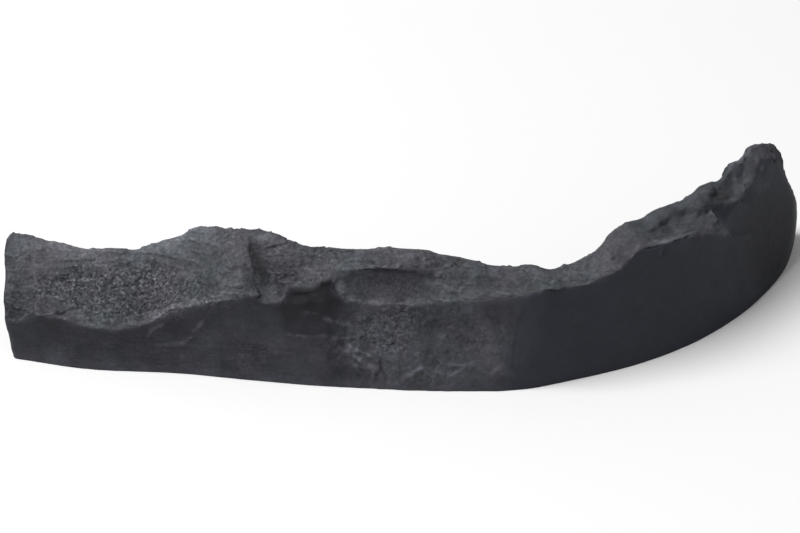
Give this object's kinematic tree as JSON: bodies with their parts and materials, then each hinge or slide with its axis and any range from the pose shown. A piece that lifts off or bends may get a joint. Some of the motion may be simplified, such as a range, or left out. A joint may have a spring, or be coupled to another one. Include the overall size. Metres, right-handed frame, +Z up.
{
  "type": "slate slab",
  "caption": "Long natural slab of dark grey slate that bends back at one end, with a steep broken front face, a ragged flaked crest and a flat bed face to lie on.",
  "frame": {"origin": "bottom centre of the bounding box, in the plane of the flat bed face", "axes": "+X along the slab from its clean broken end to its bent end, +Y away from the front face, +Z up"},
  "size_m": [0.605, 0.2036, 0.1244],
  "materials": {
    "slate": "dull riven and broken slate"
  },
  "bodies": {
    "root": {"slate_slab": "slate"}
  },
  "joints": []
}
